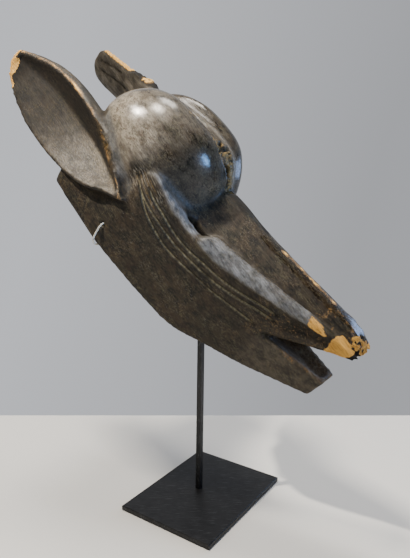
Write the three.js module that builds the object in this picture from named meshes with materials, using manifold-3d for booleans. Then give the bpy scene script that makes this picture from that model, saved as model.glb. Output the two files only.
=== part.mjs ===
// Hyena mask carved from one block of wood, held snout down by a square rod on a steel plate.
// Millimetres, Z up. The origin is the middle of the plate's underside, the snout points to +X.
// The mask is drawn lying on its open rim: x runs from the back of the head to the snout,
// y across the face and z out of it. It is tilted into place at the end.

import * as THREE from 'three';
import { mergeVertices } from 'three/addons/utils/BufferGeometryUtils.js';
import Module from 'manifold-3d';

const wasm = await Module();
wasm.setup();

// Driving dimensions
const gap = 0.3;
const maskTilt = 47;
const maskPlace = [-157, 0, 371];
const wall = 11;
const noseHalf = 12.5;
const noseEdge = 3;
const muzzleEnd = 347;
const jawEnd = 350;

const plateLong = 154;
const plateWide = 120;
const plateThick = 6;
const plateChamfer = 0.8;

const rodSide = 6;
const rodFoot = [-8, 2];
const rodTop = [-0.5, 0, 340];
const armReach = 62;
const armTilt = 43;

const stringThick = 2;
const holeAcross = 6;
const holePlace = [85, 24];

const near = -1;
const far = 1;

// A smooth line through a few points, read as a height or width at any x
function curve(points) {
  const slope = points.map((point, i) => {
    const before = points[Math.max(i - 1, 0)];
    const after = points[Math.min(i + 1, points.length - 1)];
    return (after[1] - before[1]) / (after[0] - before[0]);
  });
  return (x) => {
    const last = points.length - 2;
    let i = 0;
    while (i < last && x > points[i + 1][0]) i += 1;
    const [x0, y0] = points[i];
    const [x1, y1] = points[i + 1];
    const span = x1 - x0;
    const t = THREE.MathUtils.clamp((x - x0) / span, 0, 1);
    const rise = y1 - y0;
    const bend = (slope[i] * (1 - t) - slope[i + 1] * t) * span - rise * (1 - 2 * t);
    return y0 + rise * t + t * (1 - t) * bend;
  };
}

// Lines of the carving, as [x, half width or height] pairs: the rim that lies open at the back, the
// edge of the cheek, the sunken base of the nose beside it, and the top of the nose
const rimWidth = curve([[0, 70], [85, 71], [125, 66], [150, 62], [196, 52], [247, 40], [300, 24],
  [jawEnd, 13]]);
const rimHeight = curve([[0, 0], [190, 1], [215, 5], [247, 19], [300, 41], [jawEnd, 69]]);
const edgeWidth = curve([[0, 58], [60, 62], [91, 66], [126, 62], [155, 55.5], [204, 48.5], [270, 38],
  [muzzleEnd, 28]]);
const edgeHeight = curve([[0, 80], [60, 88], [84, 101], [96, 110], [126, 105.5], [155, 100.5], [187, 98.5],
  [226, 106.5], [270, 120], [317, 136], [335, 139], [jawEnd, 137]]);
const baseWidth = curve([[100, 34], [150, 35], [180, 29], [226, 25], [280, 21], [322, 17], [jawEnd, 15]]);
const baseHeight = curve([[0, 76], [60, 84], [95, 106], [131, 105], [150, 101], [166, 100], [180, 107],
  [226, 115], [280, 127], [322, 138], [jawEnd, 139]]);
const noseHeight = curve([[100, 104], [128, 122], [140, 131], [200, 135], [250, 140], [300, 146], [322, 149],
  [336, 147], [jawEnd, 139.5]]);
const swell = curve([[0, 1], [100, -1], [160, -1.5], [178, 3], [226, 4.5], [280, 3.5], [322, 1],
  [jawEnd, 0.5]]);
const wallBulge = curve([[0, 3], [120, 3], [250, 0], [jawEnd, -2.5]]);

// Distance that the back of the head leans past its rim, for each millimetre of height
const backLean = 0.22;
const leanLength = 90;
const backStart = -6;
const backCorner = 12;

// Triangles that fill a ring, wound the way the ring runs
function cap(ring) {
  const outline = ring.map(([, y, z]) => new THREE.Vector2(y, z));
  const triangles = THREE.ShapeUtils.triangulateShape(outline, []);
  const [a, b, c] = triangles[0].map((i) => outline[i]);
  const same = THREE.ShapeUtils.isClockWise([a, b, c]) === THREE.ShapeUtils.isClockWise(outline);
  return same ? triangles : triangles.map(([i, j, k]) => [i, k, j]);
}

// Closed solid through rings of equal count, each ring lying across x
function loft(rings) {
  const count = rings[0].length;
  const positions = rings.flat(2);
  const index = [];
  for (let i = 0; i < rings.length - 1; i += 1) {
    for (let j = 0; j < count; j += 1) {
      const a = i * count + j;
      const b = i * count + (j + 1) % count;
      index.push(a, b, b + count, a, b + count, a + count);
    }
  }
  const lastRing = (rings.length - 1) * count;
  for (const [a, b, c] of cap(rings[0])) index.push(a, c, b);
  for (const [a, b, c] of cap(rings.at(-1))) index.push(lastRing + a, lastRing + b, lastRing + c);
  const geometry = new THREE.BufferGeometry();
  geometry.setAttribute('position', new THREE.Float32BufferAttribute(positions, 3));
  geometry.setIndex(index);
  return outward(geometry);
}

function outward(geometry) {
  const p = geometry.attributes.position;
  const index = geometry.index.array;
  const [a, b, c] = [new THREE.Vector3(), new THREE.Vector3(), new THREE.Vector3()];
  let volume = 0;
  for (let i = 0; i < index.length; i += 3) {
    a.fromBufferAttribute(p, index[i]);
    b.fromBufferAttribute(p, index[i + 1]);
    c.fromBufferAttribute(p, index[i + 2]);
    volume += a.dot(b.cross(c));
  }
  if (volume < 0) geometry.setIndex([...index].reverse());
  return geometry;
}

function solid(geometry) {
  const bare = geometry.clone();
  bare.deleteAttribute('normal');
  bare.deleteAttribute('uv');
  const merged = mergeVertices(bare, 1e-3);
  return new wasm.Manifold(new wasm.Mesh({
    numProp: 3,
    vertProperties: new Float32Array(merged.attributes.position.array),
    triVerts: new Uint32Array(merged.index.array),
  }));
}

function surface(body) {
  const { vertProperties, triVerts } = body.getMesh();
  const geometry = new THREE.BufferGeometry();
  geometry.setAttribute('position', new THREE.BufferAttribute(new Float32Array(vertProperties), 3));
  geometry.setIndex(new THREE.BufferAttribute(new Uint32Array(triVerts), 1));
  return geometry;
}

const mix = THREE.MathUtils.lerp;
const steps = (from, to, count) => Array.from({ length: count + 1 }, (_, i) => mix(from, to, i / count));
const lean = (x, z) => x - backLean * z * (1 - THREE.MathUtils.smoothstep(x, 0, leanLength));

// Point of the side of the face, t = 0 on the rim and 1 on the cheek edge
function sidePoint(x, t) {
  const inset = backStart + backCorner - x;
  const round = inset > 0 ? backCorner - Math.sqrt(backCorner ** 2 - inset ** 2) : 0;
  const width = mix(rimWidth(x), edgeWidth(x), t) + wallBulge(x) * Math.sin(Math.PI * t) - round;
  return [width, mix(rimHeight(x), edgeHeight(x), t)];
}

// Half outline of the face across x, from the rim up the side and over to the middle of the nose
function halfOutline(x) {
  const side = steps(0, 1, 7).map((t) => sidePoint(x, t));
  const cheek = steps(0, 1, 6).slice(1).map((t) => [
    mix(side.at(-1)[0], baseWidth(x), t),
    mix(edgeHeight(x), baseHeight(x), t) + swell(x) * Math.sin(Math.PI * t),
  ]);
  const nose = [[noseHalf, noseHeight(x) - noseEdge / 3], [noseHalf - noseEdge, noseHeight(x)]];
  return [...side, ...cheek, ...nose];
}

function faceRing(x) {
  const half = halfOutline(x);
  const left = half.map(([y, z]) => [lean(x, z), y, z]);
  const right = half.map(([y, z]) => [lean(x, z), -y, z]).reverse();
  return [...left, ...right];
}

// Closer together round the back corner, at the eyes and at the end of the snout
const stations = [backStart, -5, -1, backStart + backCorner, ...steps(18, 114, 7), ...steps(121, 156, 5),
  162, 168, 174, 180, ...steps(188, 328, 14), 336, 343, jawEnd];
const face = solid(loft(stations.map(faceRing)));

// The forehead: two round lobes side by side with a low seam between them
const domeBack = -25;
const domeFront = 146;
const domeLevel = 95;
const domeFloor = 62;
const domeWidth = curve([[domeBack, 24], [-21, 37], [-12, 48], [13, 61], [60, 69], [88, 65], [104, 58.5],
  [117, 50.5], [131, 40], [141, 29], [domeFront, 18]]);
const lobeWidth = curve([[domeBack, 20], [60, 24], [100, 22], [130, 15], [domeFront, 10]]);
const lobeHeight = curve([[domeBack, 95], [-22, 112], [-14, 128], [-2, 141], [13, 151.5], [37, 160.5],
  [60, 163], [85, 163], [100, 160.5], [113, 154], [122, 147.5], [131, 137.5], [138, 125], [143, 111],
  [domeFront, 95]]);
const seamHeight = curve([[domeBack, 92], [-22, 110], [-14, 126], [-4, 138], [13, 147.5], [37, 154],
  [60, 159], [80, 162], [100, 162], [113, 159], [122, 153], [131, 142], [138, 129], [143, 114],
  [domeFront, 97]]);
const seamHalf = 8;
const seamRise = 4;
const domeTuck = 0.8;

function domeRing(x) {
  const outer = steps(0, 1, 8).map((t) => {
    const angle = Math.PI / 2 * t;
    return [mix(lobeWidth(x), domeWidth(x), Math.cos(angle)), mix(domeLevel, lobeHeight(x), Math.sin(angle))];
  });
  const valley = seamHeight(x) - seamRise;
  const inner = steps(0, 1, 3).slice(1).map((t) => [
    mix(lobeWidth(x), seamHalf, t),
    mix(lobeHeight(x), valley, THREE.MathUtils.smoothstep(t, 0, 1)),
  ]);
  const half = [[domeWidth(x), domeFloor], ...outer, ...inner, [seamHalf / 2, seamHeight(x) - 1]];
  const middle = (domeBack + domeFront) / 2;
  const place = ([y, z]) => [z < domeLevel ? mix(middle, x, domeTuck) : x, y, z];
  const left = half.map(place);
  const right = half.map(([y, z]) => place([-y, z])).reverse();
  return [...left, [x, 0, seamHeight(x)], ...right];
}

function dome() {
  const middle = (domeBack + domeFront) / 2;
  const reach = (domeFront - domeBack) / 2;
  return solid(loft(steps(-1, 1, 26).map((t) => domeRing(middle + reach * Math.sin(Math.PI / 2 * t)))));
}

function ellipsoid([x, y, z], [rx, ry, rz], around, down) {
  const ball = new THREE.SphereGeometry(1, around, down).rotateX(Math.PI / 2);
  return solid(ball.scale(rx, ry, rz).translate(x, y, z));
}

// Ears: a leaf-shaped boat with a deep fold, its opening facing sideways and a little up.
// upper and lower are the two rims, each by its height z and its distance y from the middle.
const earBase = 90;
const earTip = -160;
const earLip = 3;
const foldPlace = 0.66;
const foldBow = 0.12;
const earDepth = curve([[earTip, 7], [-125, 14], [-62, 22], [0, 28], [60, 26], [earBase, 14]]);
const earSwell = curve([[earTip, 2], [-125, 7], [-62, 10], [30, 10], [70, 4], [earBase, 0]]);
const cupDepth = curve([[earTip, 1], [-125, 8], [-62, 15], [0, 18], [50, 12], [78, 4], [earBase, 1]]);
const upperOut = curve([[earTip, 58], [-130, 56], [-60, 57], [-13, 60], [22, 64], [60, 72], [earBase, 80]]);

const nearEar = {
  side: near,
  spread: 0,
  upperHeight: curve([[earTip, 55], [-130, 70], [-95, 84], [-60, 90], [-13, 90.5], [22, 87.5], [60, 76.5],
    [earBase, 67]]),
  lowerHeight: curve([[earTip, 37], [-143, 27], [-109, 19], [-70, 17], [-32, 19.5], [9, 27], [42, 38.5],
    [66, 54], [earBase, 66]]),
  lowerOut: curve([[earTip, 60], [-143, 66], [-109, 72], [-70, 77], [-32, 80], [9, 82.5], [42, 83], [66, 81],
    [earBase, 80]]),
};

// The far ear is set higher on the head and its lower rim runs straighter
const farEar = {
  side: far,
  spread: 4,
  upperHeight: curve([[earTip, 82], [-150, 92], [-141, 97], [-118, 106], [-92, 112], [-60, 114], [-30, 112],
    [0, 107], [30, 100], [60, 90], [earBase, 77]]),
  lowerHeight: curve([[earTip, 60], [-152, 51], [-144, 48.5], [-129, 49], [-104, 52], [-70, 54], [-30, 55],
    [10, 58], [50, 65], [earBase, 75]]),
  lowerOut: curve([[earTip, 60], [-144, 66], [-129, 69], [-104, 74], [-70, 78], [-30, 81], [9, 83], [42, 83],
    [earBase, 80]]),
};

const earRise = (ear, x) => [upperOut(x) - ear.lowerOut(x), ear.upperHeight(x) - ear.lowerHeight(x)];
const earHeight = (ear, x) => Math.hypot(...earRise(ear, x));

// Point of an ear at x: t = 0 on the lower rim and 1 on the upper one, deep towards the head
function earPoint(ear, x, t, deep) {
  const rise = earRise(ear, x);
  const high = earHeight(ear, x);
  const y = ear.spread + ear.lowerOut(x) + rise[0] * t - deep * rise[1] / high;
  const z = ear.lowerHeight(x) + rise[1] * t + deep * rise[0] / high;
  return [x, ear.side * y, z];
}

function earHull(ear) {
  const rings = [earTip, -154, -145, ...steps(-131, 66, 12), 76, 84, earBase].map((x) => (
    steps(0, 1, 12).map((turn) => {
      const angle = Math.PI * turn;
      const swollen = Math.max(Math.sin(2 * angle), 0) * earSwell(x) / earHeight(ear, x);
      return earPoint(ear, x, 0.5 + 0.5 * Math.cos(angle) + swollen, earDepth(x) * Math.sin(angle) ** 0.75);
    })
  ));
  return solid(loft(rings));
}

function earCup(ear) {
  const rings = [-152, -143, ...steps(-131, 54, 10), 64, 72, 78].map((x) => {
    const lip = earLip / earHeight(ear, x);
    const [top, fold, low] = [[1 - lip, -1], [foldPlace, cupDepth(x)], [lip, -1]];
    const bow = cupDepth(x) * foldBow;
    const leg = (from, to) => steps(0, 1, 4).slice(0, -1).map((t) => [
      mix(from[0], to[0], t),
      mix(from[1], to[1], t) + bow * Math.sin(Math.PI * t),
    ]);
    return [...leg(top, fold), ...leg(fold, low), low].map(([t, deep]) => earPoint(ear, x, t, deep));
  });
  return solid(loft(rings));
}

// The upper edge of the far ear has split off lengthwise, above this sloping plane
const splitPlace = [-90, 60, 103.5];
const splitSlope = 14.6;

function farEarLoss() {
  const [x, y, z] = splitPlace;
  const lost = new THREE.BoxGeometry(180, 80, 60).translate(0, 0, 30);
  return solid(lost.rotateY(-THREE.MathUtils.degToRad(splitSlope)).translate(x, y, z));
}

// Cuts: the hollow behind the face, the mouth, the scooped lower jaw and the eyes
function prism(outline, from, to) {
  const shape = new THREE.Shape(outline.map(([x, z]) => new THREE.Vector2(x, z)));
  const geometry = new THREE.ExtrudeGeometry(shape, { depth: to - from, bevelEnabled: false });
  return geometry.rotateX(Math.PI / 2).translate(0, to, 0);
}

const hollowEnd = 246;
const closeFrom = 190;
const roofRise = 3;
const roofHalf = 10;
const crownMiddle = [60, 0, 82];
const crownSize = [66, 50, 58];

function hollowRing(x) {
  const closing = (x - closeFrom) / (hollowEnd + 6 - closeFrom);
  const open = x > closeFrom ? Math.sqrt(1 - closing ** 2) : 1;
  const low = rimHeight(x) - 30;
  const top = mix(rimHeight(x) + 4, baseHeight(x) - wall, open);
  const width = (rimWidth(x) - wall) * mix(0.6, 1, open);
  const shoulder = Math.min(width, edgeWidth(x) - wall - 2);
  const half = [
    [width, low],
    [width, mix(rimHeight(x), top, 0.4)],
    [shoulder, mix(rimHeight(x), top, 0.8)],
    [shoulder - 9, top],
    [roofHalf, top + roofRise * open],
  ];
  const left = half.map(([y, z]) => [lean(x, z), y, z]);
  const right = half.map(([y, z]) => [lean(x, z), -y, z]).reverse();
  return [...left, ...right];
}

function hollow() {
  const places = [backStart + wall, 30, 60, 90, 120, 140, 160, 180, 200, 215, 230, 240, hollowEnd];
  return solid(loft(places.map(hollowRing))).add(ellipsoid(crownMiddle, crownSize, 28, 16));
}

const mouthCorner = [278, 80];
const mouthRoof = 0.79;
const mouthFloor = 0.2;
const mouthGape = 3;
const lipWide = 6;

function mouth() {
  const [x, z] = mouthCorner;
  const run = 90;
  const low = z - mouthGape / 2;
  const high = z + mouthGape / 2;
  const outline = [[x, low], [x + run, low + run * mouthFloor], [x + run, high + run * mouthRoof], [x, high]];
  return solid(prism(outline, -80, 80));
}

function jawScoop() {
  const rings = steps(mouthCorner[0] + 4, jawEnd - 6, 8).map((x) => {
    const [cornerX, cornerZ] = mouthCorner;
    const top = cornerZ + (x - cornerX) * mouthFloor;
    const t = (top - rimHeight(x)) / (edgeHeight(x) - rimHeight(x));
    const half = sidePoint(x, t)[0] - lipWide;
    const deep = (top - rimHeight(x)) * 0.22;
    return [[half, top + 4], [half, top - 0.5], [half * 0.7, top - deep * 0.7], [half * 0.25, top - deep],
      [-half * 0.25, top - deep], [-half * 0.7, top - deep * 0.7], [-half, top - 0.5], [-half, top + 4]]
      .map(([y, z]) => [x, y, z]);
  });
  return solid(loft(rings));
}

const eyeOutline = [[140, 45], [149, 37], [174, 38.5], [170, 41]];

function eye(side) {
  const shape = new THREE.Shape(eyeOutline.map(([x, y]) => new THREE.Vector2(x, side * y)));
  const geometry = new THREE.ExtrudeGeometry(shape, { depth: 50, bevelEnabled: false });
  return solid(outward(mergeVertices(geometry.translate(0, 0, 70))));
}

// Lines cut along the cheek, below its edge, as [x, z]
const cheekLines = [
  [[104, 90], [129, 84], [162, 86], [187, 87], [217, 94], [249, 103], [280, 116]],
  [[104, 81], [125, 77], [155, 77], [182, 77], [215, 85], [246, 93], [280, 106]],
  [[108, 70], [135, 68], [156, 66], [180, 65], [217, 71], [242, 79], [270, 89]],
];
const lineHalf = 1.4;
const lineDeep = 1.2;

function cheekLine(points, side) {
  const line = curve(points);
  const rings = steps(points[0][0], points.at(-1)[0], 16).map((x) => {
    const z = line(x);
    const [y] = sidePoint(x, (z - rimHeight(x)) / (edgeHeight(x) - rimHeight(x)));
    return [[y + 1, z - lineHalf * 2], [y + 1, z + lineHalf * 2], [y - lineDeep, z]]
      .map(([w, h]) => [x, side * w, h]);
  });
  return solid(loft(rings));
}

function stringHole() {
  const [x, z] = holePlace;
  const drill = new THREE.CylinderGeometry(holeAcross / 2, holeAcross / 2, 60, 12);
  return solid(drill.translate(x, near * rimWidth(x), z));
}

function maskBody() {
  let body = face.add(dome()).add(earHull(nearEar)).add(earHull(farEar).subtract(farEarLoss()));
  const cuts = [earCup(nearEar), earCup(farEar), hollow(), mouth(), jawScoop(), eye(near), eye(far),
    stringHole()];
  for (const line of cheekLines) cuts.push(cheekLine(line, near), cheekLine(line, far));
  for (const cut of cuts) body = body.subtract(cut);
  return surface(body);
}

function inPlace(geometry) {
  return geometry.rotateY(THREE.MathUtils.degToRad(maskTilt)).translate(...maskPlace);
}

// Stand
function plate() {
  const shape = new THREE.Shape();
  const [x, y] = [plateWide / 2 - plateChamfer, plateLong / 2 - plateChamfer];
  shape.moveTo(-x, -y);
  shape.lineTo(x, -y);
  shape.lineTo(x, y);
  shape.lineTo(-x, y);
  const settings = {
    depth: plateThick - 2 * plateChamfer,
    bevelThickness: plateChamfer,
    bevelSize: plateChamfer,
    bevelSegments: 1,
  };
  return new THREE.ExtrudeGeometry(shape, settings).translate(0, 0, plateChamfer);
}

function rod() {
  const [footX, footY] = rodFoot;
  const bend = new THREE.Vector3(...rodTop);
  const arm = THREE.MathUtils.degToRad(armTilt);
  const tip = bend.clone().add(new THREE.Vector3(-Math.sin(arm), 0, Math.cos(arm)).multiplyScalar(armReach));
  const foot = new THREE.Vector3(footX, footY, plateThick + gap);
  const half = rodSide / 2;
  const squareAt = ({ x, y, z }, tilt) => [[-half, -half], [half, -half], [half, half], [-half, half]]
    .map(([u, v]) => [x + u * Math.cos(tilt), y + v, z + u * Math.sin(tilt)]);
  const rings = [squareAt(foot, 0), squareAt(bend, arm / 2), squareAt(tip, arm)];
  const lying = rings.map((ring) => ring.map(([x, y, z]) => [z, y, -x]));
  return loft(lying).rotateY(-Math.PI / 2);
}

function stringLoop() {
  const [x, z] = holePlace;
  const y = near * rimWidth(x);
  const [outside, inside] = [y + near * 3, y - near * 13];
  return [[x, y - near * 5.5, z + 0.5], [x + 0.3, outside - near, z - 0.5], [x + 2, outside + near, z - 10],
    [x + 4.5, outside + near, z - 20], [x + 6, y - near * 3, z - 27], [x + 6, inside + near, z - 26.5],
    [x + 5, inside - near, z - 20], [x + 2.5, inside - near, z - 9], [x + 0.3, inside + near, z - 0.5]];
}

function tieString() {
  const path = new THREE.CatmullRomCurve3(stringLoop().map((point) => new THREE.Vector3(...point)), true);
  const section = new THREE.Shape();
  section.absarc(0, 0, stringThick / 2, 0, 2 * Math.PI);
  return new THREE.ExtrudeGeometry(section, { extrudePath: path, steps: 28, curveSegments: 4 });
}

const wood = new THREE.MeshStandardMaterial({ color: 0x3a332c, roughness: 0.55, metalness: 0 });
const steel = new THREE.MeshStandardMaterial({ color: 0x25262a, roughness: 0.45, metalness: 0.9 });
const cotton = new THREE.MeshStandardMaterial({ color: 0xd8cfb8, roughness: 0.9, metalness: 0 });

function piece(name, geometry, material) {
  const mesh = new THREE.Mesh(geometry, material);
  mesh.name = name;
  return mesh;
}

const model = new THREE.Group();
model.add(piece('mask', inPlace(maskBody()), wood));
model.add(piece('tie_string', inPlace(tieString()), cotton));
model.add(piece('stand_rod', rod(), steel));
model.add(piece('stand_plate', plate(), steel.clone()));

export default model;
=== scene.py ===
import math

import bmesh
import bpy
import numpy as np
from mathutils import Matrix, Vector
from mathutils.bvhtree import BVHTree


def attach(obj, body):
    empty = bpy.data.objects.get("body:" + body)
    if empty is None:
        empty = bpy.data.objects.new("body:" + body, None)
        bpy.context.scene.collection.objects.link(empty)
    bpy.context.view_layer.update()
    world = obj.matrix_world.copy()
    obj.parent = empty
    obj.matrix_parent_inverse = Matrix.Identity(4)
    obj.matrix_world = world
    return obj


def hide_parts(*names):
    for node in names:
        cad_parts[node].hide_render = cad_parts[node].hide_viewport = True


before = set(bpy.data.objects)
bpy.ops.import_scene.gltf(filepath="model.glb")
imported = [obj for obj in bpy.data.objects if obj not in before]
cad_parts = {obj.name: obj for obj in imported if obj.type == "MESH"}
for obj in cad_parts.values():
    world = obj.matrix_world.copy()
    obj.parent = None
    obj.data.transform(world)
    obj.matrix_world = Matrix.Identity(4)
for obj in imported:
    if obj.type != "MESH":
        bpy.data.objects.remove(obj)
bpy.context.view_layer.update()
print("frame loaded")

scene = bpy.context.scene
mm = 0.001


def mix(a, b, t):
    return a + (b - a) * t


def ease(value, low, high):  # 0 below low, 1 above high, smooth between
    t = np.clip((value - low) / (high - low), 0, 1)
    return t * t * (3 - 2 * t)


def within(value, start, full, fade, end):  # 0 before start, 1 from full to fade, 0 after end
    return ease(value, start, full) * (1 - ease(value, fade, end))


def hump(value, middle, half):  # 1 at the middle, falling off softly on both sides
    return np.exp(-((value - middle) / half) ** 2)


def curve(points):  # smooth line through a few points, read at any x
    xs = [p[0] for p in points]
    ys = [p[1] for p in points]
    last = len(points) - 1
    slope = [(ys[min(i + 1, last)] - ys[max(i - 1, 0)]) / (xs[min(i + 1, last)] - xs[max(i - 1, 0)])
             for i in range(last + 1)]
    xs, ys, slope = np.array(xs, float), np.array(ys, float), np.array(slope)

    def read(x):
        i = np.clip(np.searchsorted(xs, x, side="left") - 1, 0, last - 1)
        span, rise = xs[i + 1] - xs[i], ys[i + 1] - ys[i]
        t = np.clip((x - xs[i]) / span, 0, 1)
        bend = (slope[i] * (1 - t) - slope[i + 1] * t) * span - rise * (1 - 2 * t)
        return ys[i] + rise * t + t * (1 - t) * bend

    return read


def lattice(ix, iy, iz, seed):  # one steady random number for each cell
    h = (ix * 374761393 + iy * 668265263 + iz * 2147483647 + seed * 1274126177) & 0xFFFFFFFF
    h = ((h ^ (h >> 13)) * 1274126177) & 0xFFFFFFFF
    return ((h ^ (h >> 16)) & 0xFFFF) / 65535.0


def bumps(points, size, seed):  # soft noise from -1 to 1, its humps about size mm apart
    q = points / np.array(size, float)
    cell = np.floor(q).astype(np.int64)
    f = q - cell
    f = f * f * (3 - 2 * f)
    total = np.zeros(len(points))
    for dx in (0, 1):
        for dy in (0, 1):
            for dz in (0, 1):
                weight = np.abs(1 - dx - f[:, 0]) * np.abs(1 - dy - f[:, 1]) * np.abs(1 - dz - f[:, 2])
                total += weight * lattice(cell[:, 0] + dx, cell[:, 1] + dy, cell[:, 2] + dz, seed)
    return total * 2 - 1


def chips(points, size, seed):  # distance to the nearest of scattered points, 0 to about 1
    q = points / np.array(size, float)
    cell = np.floor(q).astype(np.int64)
    best = np.full(len(points), 9.0)
    for dx in (-1, 0, 1):
        for dy in (-1, 0, 1):
            for dz in (-1, 0, 1):
                c = cell + np.array([dx, dy, dz])
                gap = np.zeros(len(points))
                for axis in range(3):
                    place = c[:, axis] + lattice(c[:, 0], c[:, 1], c[:, 2], seed + axis * 17)
                    gap += (place - q[:, axis]) ** 2
                best = np.minimum(best, gap)
    return np.sqrt(best)


def meshObject(name, verts, faces):
    data = bpy.data.meshes.new(name)
    data.from_pydata([tuple(map(float, v)) for v in verts], [], faces)
    data.validate()
    made = bpy.data.objects.new(name, data)
    scene.collection.objects.link(made)
    return made


def fixNormals(made):
    bm = bmesh.new()
    bm.from_mesh(made.data)
    bmesh.ops.remove_doubles(bm, verts=bm.verts, dist=1e-4)
    bmesh.ops.triangulate(bm, faces=bm.faces)
    bmesh.ops.recalc_face_normals(bm, faces=bm.faces)
    bm.to_mesh(made.data)
    bm.free()


def loft(name, rings):  # closed body through rings of equal count
    count = len(rings[0])
    verts = [v for ring in rings for v in ring]
    faces = []
    for i in range(len(rings) - 1):
        for j in range(count):
            a, b = i * count + j, i * count + (j + 1) % count
            faces.append((a, b, b + count, a + count))
    faces.append(tuple(range(count)))
    faces.append(tuple(range((len(rings) - 1) * count, len(rings) * count)))
    made = meshObject(name, verts, faces)
    fixNormals(made)
    return made


def applied(made):  # mesh with its modifiers carried out
    graph = bpy.context.evaluated_depsgraph_get()
    data = bpy.data.meshes.new_from_object(made.evaluated_get(graph))
    made.modifiers.clear()
    old = made.data
    made.data = data
    bpy.data.meshes.remove(old)
    return made


def cutOrJoin(body, other, operation):
    modifier = body.modifiers.new("carve", "BOOLEAN")
    modifier.operation = operation
    modifier.solver = "MANIFOLD"
    modifier.object = other
    applied(body)
    bpy.data.objects.remove(other)


# All in millimetres in the mask's own frame: x from the back of the head to the snout,
# y across the face (the near side is negative) and z out of the face
mask = {
    "tilt": 47, "place": (-157, 0, 371), "wall": 11,
    "noseHalf": 12.5, "jawEnd": 350,
    "backLean": 0.22, "leanLength": 90, "backStart": -6, "backCorner": 12,
    "voxel": 1.9,
}
rimWidth = curve([(0, 70), (85, 71), (125, 66), (150, 62), (196, 52), (247, 40), (300, 24), (350, 13)])
rimHeight = curve([(0, 0), (190, 1), (215, 5), (247, 19), (300, 41), (350, 69)])
edgeWidth = curve([(0, 58), (60, 62), (91, 66), (126, 62), (155, 55.5), (204, 48.5), (270, 38), (347, 28)])
edgeHeight = curve([(0, 80), (60, 88), (84, 101), (96, 110), (126, 105.5), (155, 100.5), (187, 98.5),
                    (226, 106.5), (270, 120), (317, 136), (335, 139), (350, 137)])
baseWidth = curve([(100, 34), (150, 35), (180, 29), (226, 25), (280, 21), (322, 17), (350, 15)])
baseHeight = curve([(0, 76), (60, 84), (95, 106), (131, 105), (150, 101), (166, 100), (180, 107),
                    (226, 115), (280, 127), (322, 138), (350, 139)])
noseHeight = curve([(100, 104), (128, 122), (140, 131), (200, 135), (250, 140), (300, 146), (322, 149),
                    (336, 147), (350, 139.5)])
swell = curve([(0, 1), (100, -1), (160, -1.5), (178, 3), (226, 4.5), (280, 3.5), (322, 1), (350, 0.5)])
wallBulge = curve([(0, 3), (120, 3), (250, 0), (350, -2.5)])


def lean(x, z):
    return x - mask["backLean"] * z * (1 - ease(x, 0, mask["leanLength"]))


def sidePoint(x, t):
    inset = mask["backStart"] + mask["backCorner"] - x
    corner = mask["backCorner"]
    round_ = corner - math.sqrt(max(corner ** 2 - inset ** 2, 0)) if inset > 0 else 0
    width = mix(rimWidth(x), edgeWidth(x), t) + wallBulge(x) * math.sin(math.pi * t) - round_
    return width, mix(rimHeight(x), edgeHeight(x), t)


def mirrored(x, half):  # the same outline on both sides, leaning back behind the brow
    left = [(lean(x, z), y, z) for y, z in half]
    return left + [(px, -y, z) for px, y, z in reversed(left)]


def faceRing(x):
    side = [sidePoint(x, t) for t in np.linspace(0, 1, 17)]
    cheek = [(mix(side[-1][0], baseWidth(x), t),
              mix(edgeHeight(x), baseHeight(x), t) + swell(x) * math.sin(math.pi * t))
             for t in np.linspace(0, 1, 13)[1:]]
    half, top = mask["noseHalf"], noseHeight(x)
    flat = float(ease(x, 300, 330))  # the top of the nose is round, and flat only near the snout
    nose = [(half, top - mix(3.4, 1, flat)), (half - 1.2, top - mix(1.7, 0.3, flat)),
            (half - 3, top - mix(0.6, 0, flat)), (half - 6.5, top + mix(0.4, 0, flat)),
            (1, top + mix(0.8, 0, flat))]
    return mirrored(x, side + cheek + nose)


def makeFace():
    back = [-6, -5.7, -5, -3.6, -1.8, 0.5, 3, 6]
    return loft("face", [faceRing(x) for x in back + list(np.arange(10, 350, 4.0)) + [350]])


dome = {"back": -25, "front": 146, "level": 95, "floor": 62, "tuck": 0.8, "seamHalf": 8, "seamRise": 4}
domeWidth = curve([(-25, 24), (-21, 37), (-12, 48), (13, 61), (60, 69), (88, 65), (104, 58.5), (117, 50.5),
                   (131, 40), (141, 29), (146, 18)])
lobeWidth = curve([(-25, 20), (60, 24), (100, 22), (130, 15), (146, 10)])
lobeHeight = curve([(-25, 95), (-22, 112), (-14, 128), (-2, 141), (13, 151.5), (37, 160.5), (60, 163),
                    (85, 163), (100, 160.5), (113, 154), (122, 147.5), (131, 137.5), (138, 125),
                    (143, 111), (146, 95)])
seamHeight = curve([(-25, 92), (-22, 110), (-14, 126), (-4, 138), (13, 147.5), (37, 154), (60, 159),
                    (80, 162), (100, 162), (113, 159), (122, 153), (131, 142), (138, 129), (143, 114),
                    (146, 97)])


def domeRing(x):
    outer = []
    for t in np.linspace(0, 1, 19):
        angle = math.pi / 2 * t
        outer.append((mix(lobeWidth(x), domeWidth(x), math.cos(angle)),
                      mix(dome["level"], lobeHeight(x), math.sin(angle))))
    valley = seamHeight(x) - dome["seamRise"]
    inner = [(mix(lobeWidth(x), dome["seamHalf"], t), mix(lobeHeight(x), valley, float(ease(t, 0, 1))))
             for t in np.linspace(0, 1, 7)[1:]]
    half = [(domeWidth(x), dome["floor"])] + outer + inner + [(dome["seamHalf"] / 2, seamHeight(x) - 1)]
    middle = (dome["back"] + dome["front"]) / 2
    left = [(mix(middle, x, dome["tuck"]) if z < dome["level"] else x, y, z) for y, z in half]
    return left + [(x, 0, seamHeight(x))] + [(px, -y, z) for px, y, z in reversed(left)]


def makeDome():
    middle, reach = (dome["back"] + dome["front"]) / 2, (dome["front"] - dome["back"]) / 2
    places = [middle + reach * math.sin(math.pi / 2 * t) for t in np.linspace(-1, 1, 61)]
    return loft("dome", [domeRing(x) for x in places])


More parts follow.
